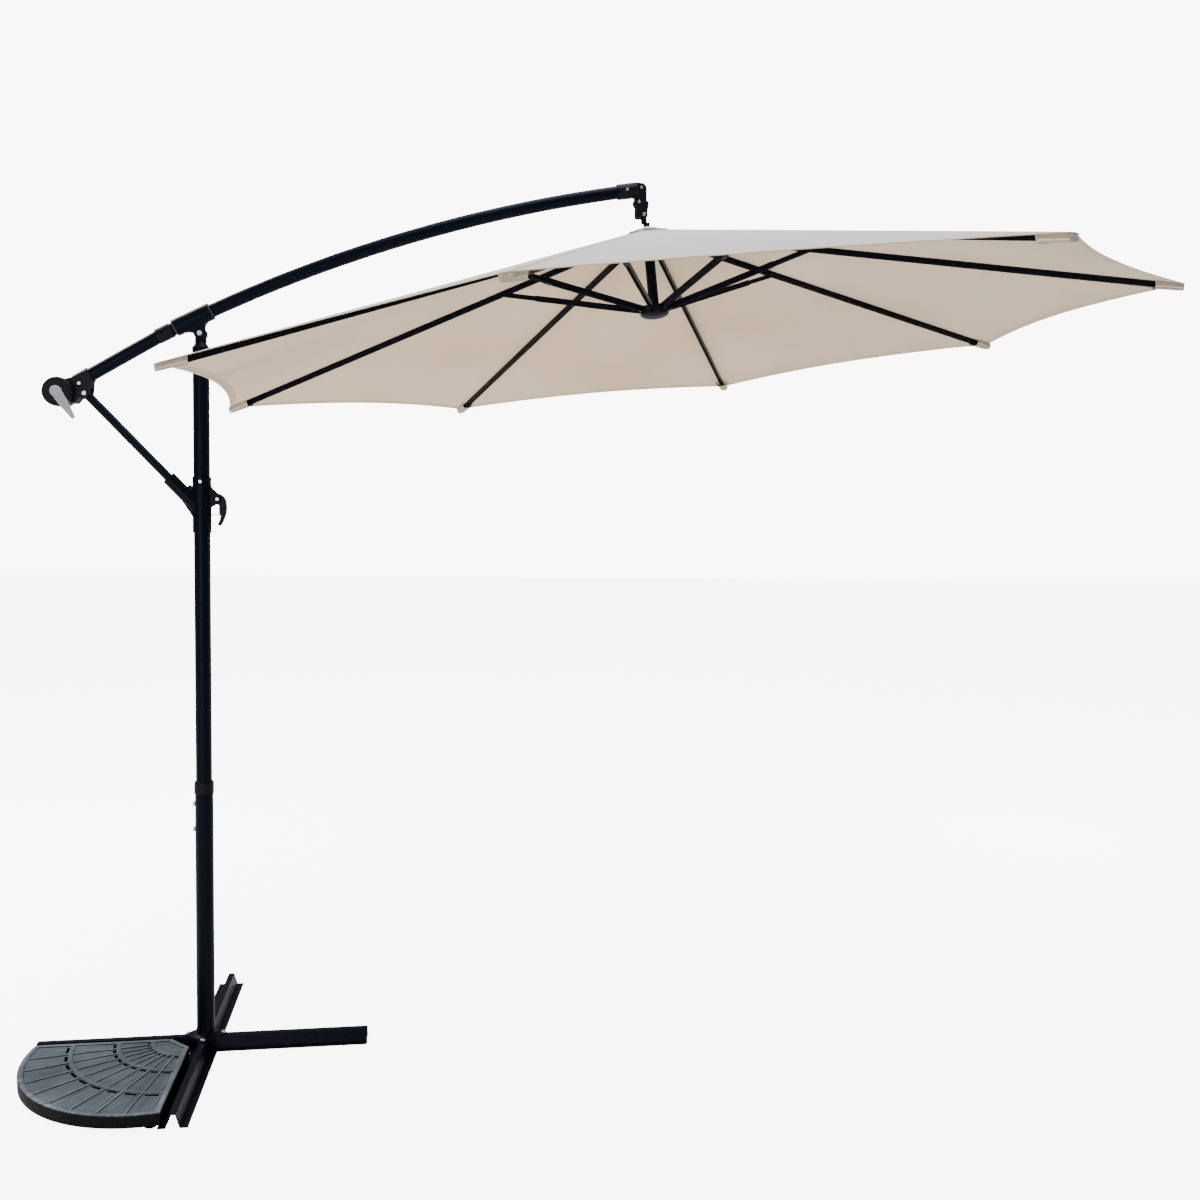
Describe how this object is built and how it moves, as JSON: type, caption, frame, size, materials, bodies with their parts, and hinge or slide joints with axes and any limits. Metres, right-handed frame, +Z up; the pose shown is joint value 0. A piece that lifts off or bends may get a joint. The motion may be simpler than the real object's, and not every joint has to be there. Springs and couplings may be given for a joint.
{
  "type": "patio umbrella with base",
  "caption": "Cantilever patio umbrella: offset pole on a cross base with a fan weight, curved arm through a pivoting sleeve, crank, sliding bracket with strut, and folding ribbed fabric canopy.",
  "frame": {"origin": "on the floor, on the pole axis, at the underside of the block in the crossing of the base legs", "axes": "+Z up along the pole, +X along the arm from the pole towards the canopy, legs along X and Y, the weight lies in the -X -Y quarter"},
  "size_m": [3.3345, 2.8582, 2.743],
  "materials": {
    "black_plastic": "satin",
    "canopy_fabric": "matt",
    "grey_plastic": "satin",
    "liner_plastic": "satin",
    "powder_coat": "satin",
    "resin_weight": "matt",
    "zinc": "satin"
  },
  "bodies": {
    "base": {"long_leg": "powder_coat", "back_leg": "powder_coat", "front_leg": "powder_coat", "center_block": "powder_coat", "flange_plate": "powder_coat", "base_bolts": "zinc", "lower_pole": "powder_coat", "pole_collar": "black_plastic", "lock_screws": "zinc"},
    "weight": {"weight_plate": "resin_weight"},
    "mast": {"upper_pole": "powder_coat", "pole_cap": "powder_coat", "pivot_bolt": "zinc"},
    "sleeve": {"arm_sleeve": "powder_coat", "sleeve_liners": "liner_plastic"},
    "slider": {"slide_bracket": "powder_coat", "strut": "powder_coat", "bracket_pins": "zinc"},
    "lever": {"cam_lever": "black_plastic"},
    "arm": {"housing_front": "black_plastic", "housing_back": "black_plastic", "strut_pin": "zinc", "lower_arm": "powder_coat", "joint_collar": "black_plastic", "curved_arm": "powder_coat", "elbow_body": "black_plastic", "elbow_pulley": "black_plastic", "arm_screws": "zinc"},
    "crank": {"spool": "grey_plastic", "crank_disc": "black_plastic", "crank_handle": "grey_plastic"},
    "head": {"hanger": "powder_coat", "center_post": "powder_coat", "top_hub": "black_plastic", "canopy_cap": "canopy_fabric"},
    "runner": {"lower_hub": "black_plastic"},
    "rib_1": {"rib_1": "powder_coat", "canopy_1": "canopy_fabric"},
    "stretcher_1": {"stretcher_1": "powder_coat"},
    "rib_2": {"rib_2": "powder_coat", "canopy_2": "canopy_fabric"},
    "stretcher_2": {"stretcher_2": "powder_coat"},
    "rib_3": {"rib_3": "powder_coat", "canopy_3": "canopy_fabric"},
    "stretcher_3": {"stretcher_3": "powder_coat"},
    "rib_4": {"rib_4": "powder_coat", "canopy_4": "canopy_fabric"},
    "stretcher_4": {"stretcher_4": "powder_coat"},
    "rib_5": {"rib_5": "powder_coat", "canopy_5": "canopy_fabric"},
    "stretcher_5": {"stretcher_5": "powder_coat"},
    "rib_6": {"rib_6": "powder_coat", "canopy_6": "canopy_fabric"},
    "stretcher_6": {"stretcher_6": "powder_coat"},
    "rib_7": {"rib_7": "powder_coat", "canopy_7": "canopy_fabric"},
    "stretcher_7": {"stretcher_7": "powder_coat"},
    "rib_8": {"rib_8": "powder_coat", "canopy_8": "canopy_fabric"},
    "stretcher_8": {"stretcher_8": "powder_coat"}
  },
  "joints": [
    {"name": "weight_lift", "type": "slide", "parent": "base", "child": "weight", "axis": [0, 0, 1], "range_m": [0, 0.3]},
    {"name": "pole_swivel", "type": "hinge", "parent": "base", "child": "mast", "pos_m": [0, 0, 0.8], "axis": [0, 0, 1], "range_deg": [-180, 180]},
    {"name": "bracket_slide", "type": "slide", "parent": "mast", "child": "slider", "axis": [0, 0, 1], "range_m": [-0.08, 0]},
    {"name": "sleeve_pivot", "type": "hinge", "parent": "mast", "child": "sleeve", "pos_m": [0, 0, 2.218], "axis": [0, -1, 0], "range_deg": [-1, 11]},
    {"name": "lever_hinge", "type": "hinge", "parent": "slider", "child": "lever", "pos_m": [0.047, 0, 1.72098], "axis": [0, -1, 0], "range_deg": [0, 75]},
    {"name": "strut_pivot", "type": "hinge", "parent": "slider", "child": "arm", "pos_m": [-0.32995, 0, 2.02796], "axis": [0, -1, 0], "range_deg": [-1, 11]},
    {"name": "crank_turn", "type": "hinge", "parent": "arm", "child": "crank", "pos_m": [-0.40095, 0, 2.02896], "axis": [0, -1, 0], "range_deg": [0, 1980]},
    {"name": "canopy_tilt", "type": "hinge", "parent": "arm", "child": "head", "pos_m": [1.35299, 0, 2.64201], "axis": [0, -1, 0], "range_deg": [-1, 15]},
    {"name": "canopy_fold", "type": "hinge", "parent": "head", "child": "rib_1", "pos_m": [1.39703, 0.01225, 2.58469], "axis": [-0.3801, 0.9239, -0.044], "range_deg": [0, 71], "deforming": ["canopy_1"]},
    {"name": "fold_stretcher_1", "type": "hinge", "parent": "rib_1", "child": "stretcher_1", "pos_m": [1.84241, 0.19233, 2.51811], "axis": [-0.3801, 0.9239, -0.044], "range_deg": [-144, 2]},
    {"name": "runner_hinge", "type": "hinge", "parent": "stretcher_1", "child": "runner", "pos_m": [1.424, 0.01225, 2.35158], "axis": [-0.3801, 0.9239, -0.044], "range_deg": [-1, 72]},
    {"name": "fold_rib_2", "type": "hinge", "parent": "head", "child": "rib_2", "pos_m": [1.37983, 0.02956, 2.5827], "axis": [-0.9178, 0.3827, -0.1062], "range_deg": [-1, 72], "deforming": ["canopy_2"]},
    {"name": "fold_stretcher_2", "type": "hinge", "parent": "rib_2", "child": "stretcher_2", "pos_m": [1.57221, 0.46434, 2.48684], "axis": [-0.9178, 0.3827, -0.1062], "range_deg": [-144, 2]},
    {"name": "fold_rib_3", "type": "hinge", "parent": "head", "child": "rib_3", "pos_m": [1.3555, 0.02956, 2.57988], "axis": [-0.9178, -0.3827, -0.1062], "range_deg": [-1, 72], "deforming": ["canopy_3"]},
    {"name": "fold_stretcher_3", "type": "hinge", "parent": "rib_3", "child": "stretcher_3", "pos_m": [1.19009, 0.46434, 2.44263], "axis": [-0.9178, -0.3827, -0.1062], "range_deg": [-144, 2]},
    {"name": "fold_rib_4", "type": "hinge", "parent": "head", "child": "rib_4", "pos_m": [1.3383, 0.01225, 2.57789], "axis": [-0.3801, -0.9239, -0.044], "range_deg": [-1, 72], "deforming": ["canopy_4"]},
    {"name": "fold_stretcher_4", "type": "hinge", "parent": "rib_4", "child": "stretcher_4", "pos_m": [0.91989, 0.19233, 2.41137], "axis": [-0.3801, -0.9239, -0.044], "range_deg": [-144, 2]},
    {"name": "fold_rib_5", "type": "hinge", "parent": "head", "child": "rib_5", "pos_m": [1.3383, -0.01225, 2.57789], "axis": [0.3801, -0.9239, 0.044], "range_deg": [-1, 72], "deforming": ["canopy_5"]},
    {"name": "fold_stretcher_5", "type": "hinge", "parent": "rib_5", "child": "stretcher_5", "pos_m": [0.91989, -0.19233, 2.41137], "axis": [0.3801, -0.9239, 0.044], "range_deg": [-144, 2]},
    {"name": "fold_rib_6", "type": "hinge", "parent": "head", "child": "rib_6", "pos_m": [1.3555, -0.02956, 2.57988], "axis": [0.9178, -0.3827, 0.1062], "range_deg": [-1, 72], "deforming": ["canopy_6"]},
    {"name": "fold_stretcher_6", "type": "hinge", "parent": "rib_6", "child": "stretcher_6", "pos_m": [1.19009, -0.46434, 2.44263], "axis": [0.9178, -0.3827, 0.1062], "range_deg": [-144, 2]},
    {"name": "fold_rib_7", "type": "hinge", "parent": "head", "child": "rib_7", "pos_m": [1.37983, -0.02956, 2.5827], "axis": [0.9178, 0.3827, 0.1062], "range_deg": [-1, 72], "deforming": ["canopy_7"]},
    {"name": "fold_stretcher_7", "type": "hinge", "parent": "rib_7", "child": "stretcher_7", "pos_m": [1.57221, -0.46434, 2.48684], "axis": [0.9178, 0.3827, 0.1062], "range_deg": [-144, 2]},
    {"name": "fold_rib_8", "type": "hinge", "parent": "head", "child": "rib_8", "pos_m": [1.39703, -0.01225, 2.58469], "axis": [0.3801, 0.9239, 0.044], "range_deg": [-1, 72], "deforming": ["canopy_8"]},
    {"name": "fold_stretcher_8", "type": "hinge", "parent": "rib_8", "child": "stretcher_8", "pos_m": [1.84241, -0.19233, 2.51811], "axis": [0.3801, 0.9239, 0.044], "range_deg": [-144, 2]}
  ],
  "couplings": [
    {"joint": "strut_pivot", "follows": "bracket_slide", "rad_per_m": -2.1477},
    {"joint": "sleeve_pivot", "follows": "bracket_slide", "rad_per_m": -2.0328},
    {"joint": "fold_stretcher_1", "follows": "canopy_fold", "ratio": -2},
    {"joint": "runner_hinge", "follows": "canopy_fold", "ratio": 1},
    {"joint": "fold_rib_2", "follows": "canopy_fold", "ratio": 1},
    {"joint": "fold_stretcher_2", "follows": "canopy_fold", "ratio": -2},
    {"joint": "fold_rib_3", "follows": "canopy_fold", "ratio": 1},
    {"joint": "fold_stretcher_3", "follows": "canopy_fold", "ratio": -2},
    {"joint": "fold_rib_4", "follows": "canopy_fold", "ratio": 1},
    {"joint": "fold_stretcher_4", "follows": "canopy_fold", "ratio": -2},
    {"joint": "fold_rib_5", "follows": "canopy_fold", "ratio": 1},
    {"joint": "fold_stretcher_5", "follows": "canopy_fold", "ratio": -2},
    {"joint": "fold_rib_6", "follows": "canopy_fold", "ratio": 1},
    {"joint": "fold_stretcher_6", "follows": "canopy_fold", "ratio": -2},
    {"joint": "fold_rib_7", "follows": "canopy_fold", "ratio": 1},
    {"joint": "fold_stretcher_7", "follows": "canopy_fold", "ratio": -2},
    {"joint": "fold_rib_8", "follows": "canopy_fold", "ratio": 1},
    {"joint": "fold_stretcher_8", "follows": "canopy_fold", "ratio": -2},
    {"joint": "crank_turn", "follows": "canopy_fold", "ratio": 26}
  ]
}
